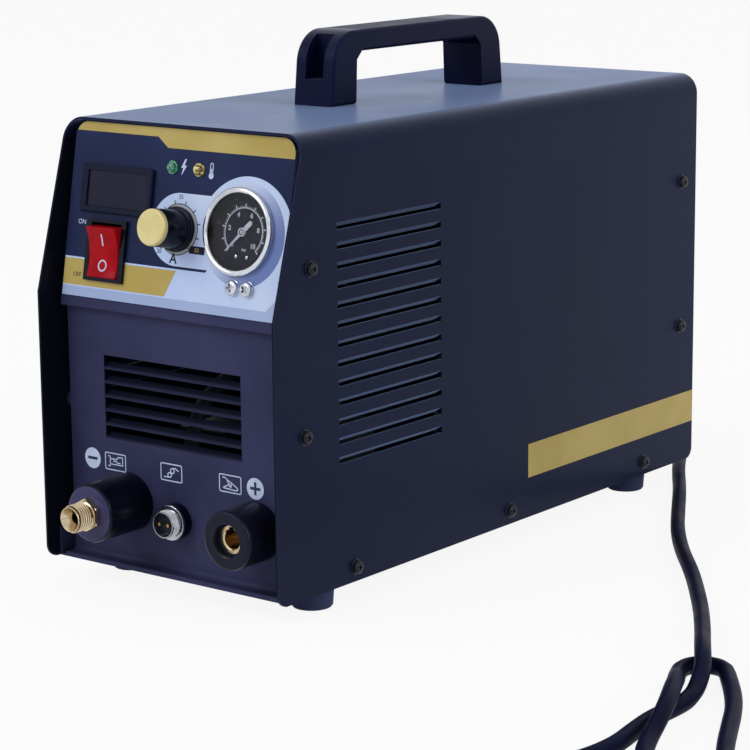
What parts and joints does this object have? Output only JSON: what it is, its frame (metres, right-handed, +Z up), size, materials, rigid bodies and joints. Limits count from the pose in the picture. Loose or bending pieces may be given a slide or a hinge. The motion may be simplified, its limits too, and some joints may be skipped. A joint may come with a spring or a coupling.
{
  "type": "inverter plasma cutter unit",
  "caption": "Portable inverter plasma cutter in a louvred steel case with carry handle, gauge, current knob, rocker switch, torch and earth sockets, and a coiled mains cord.",
  "frame": {"origin": "on the floor under the middle of the object without its free cord, at the bottom of the feet", "axes": "+X to the object's left as it faces the viewer's right, across the front; +Y from the front panel to the rear panel; +Z up"},
  "size_m": [0.5559, 0.688, 0.2755],
  "materials": {
    "cover_paint": "satin powder coat, navy black",
    "panel_paint": "satin powder coat, dark blue",
    "base_paint": "satin powder coat",
    "label_film": "printed polyester film in dark blue, gold and silver blue",
    "black_plastic": "moulded, fine grain",
    "gloss_black": "moulded, glossy",
    "foot_rubber": "matt",
    "cord_rubber": "smooth sheath",
    "chrome": "polished",
    "zinc": "zinc plated",
    "brass": "turned",
    "dial_paint": "black dial with white and red scales",
    "needle_paint": "white",
    "lens_clear": "clear",
    "window_red": "smoked dark red window",
    "rocker_red": "translucent red",
    "lamp_green": "translucent green",
    "lamp_yellow": "translucent yellow",
    "cap_gold": "gold anodised look",
    "board_green": "solder resist on glass epoxy",
    "aluminium": "extruded",
    "capacitor_sleeve": "shrink sleeve",
    "ferrite": "sintered",
    "copper_winding": "enamelled copper under tape",
    "powder_core": "wound core, coated",
    "epoxy": "potted block",
    "hose_rubber": "smooth",
    "pin_brass": "nickelled brass"
  },
  "bodies": {
    "case": {"cover": "cover_paint", "base_pan": "base_paint", "foot_front_left": "foot_rubber", "foot_front_right": "foot_rubber", "foot_rear_left": "foot_rubber", "foot_rear_right": "foot_rubber", "mounting_screws": "zinc", "front_panel": "panel_paint", "control_label": "label_film", "rear_panel": "base_paint", "fan_frame": "black_plastic", "fan_guard": "chrome", "fan_screws": "zinc", "case_screws": "zinc", "label_screws": "chrome", "carry_handle": "black_plastic", "gauge_bezel": "chrome", "gauge_body": "gloss_black", "gauge_dial": "dial_paint", "gauge_lens": "lens_clear", "potentiometer": "zinc", "switch_housing": "gloss_black", "display_frame": "gloss_black", "display_window": "window_red", "control_board": "board_green", "lamp_green": "lamp_green", "lamp_yellow": "lamp_yellow", "torch_boss": "black_plastic", "torch_fitting": "brass", "earth_socket_body": "black_plastic", "earth_socket_sleeve": "brass", "trigger_socket_ring": "black_plastic", "trigger_socket_shell": "chrome", "trigger_socket_insert": "black_plastic", "trigger_socket_pins": "pin_brass", "connector_nuts": "brass", "gas_inlet": "brass", "earth_stud": "zinc", "cable_gland": "black_plastic", "power_cord": "cord_rubber", "power_cord_coil": "cord_rubber", "power_plug": "cord_rubber", "plug_pins": "pin_brass", "main_board": "board_green", "heatsinks": "aluminium", "power_modules": "epoxy", "bus_capacitors": "capacitor_sleeve", "transformer_core": "ferrite", "transformer_windings": "copper_winding", "output_choke": "powder_core", "ignition_coil": "epoxy", "gas_valve": "brass", "gas_hoses": "hose_rubber"},
    "needle": {"gauge_needle": "needle_paint"},
    "knob": {"current_knob": "gloss_black", "knob_cap": "cap_gold", "potentiometer_shaft": "zinc"},
    "rocker": {"power_rocker": "rocker_red"},
    "fan": {"fan_rotor": "black_plastic"},
    "plunger": {"valve_plunger": "zinc"}
  },
  "joints": [
    {"name": "power_rocker_tilt", "type": "hinge", "parent": "case", "child": "rocker", "pos_m": [-0.0434, -0.17267, 0.17207], "axis": [-1, 0, 0], "range_deg": [0, 17]},
    {"name": "current_knob_turn", "type": "hinge", "parent": "case", "child": "knob", "pos_m": [0.0024, -0.17299, 0.18707], "axis": [0, -0.9839, 0.1788], "range_deg": [-135, 135]},
    {"name": "gauge_needle_swing", "type": "hinge", "parent": "case", "child": "needle", "pos_m": [0.0417, -0.17014, 0.18879], "axis": [0, 0.9839, -0.1788], "range_deg": [0, 270], "stiffness_Nm_per_rad": 0.0002},
    {"name": "fan_spin", "type": "hinge", "parent": "case", "child": "fan", "pos_m": [0, 0.1668, 0.172], "axis": [0, 1, 0], "continuous": true},
    {"name": "valve_plunger_lift", "type": "slide", "parent": "case", "child": "plunger", "axis": [0, 0, 1], "range_m": [0, 0.002], "stiffness_N_per_m": 200}
  ]
}
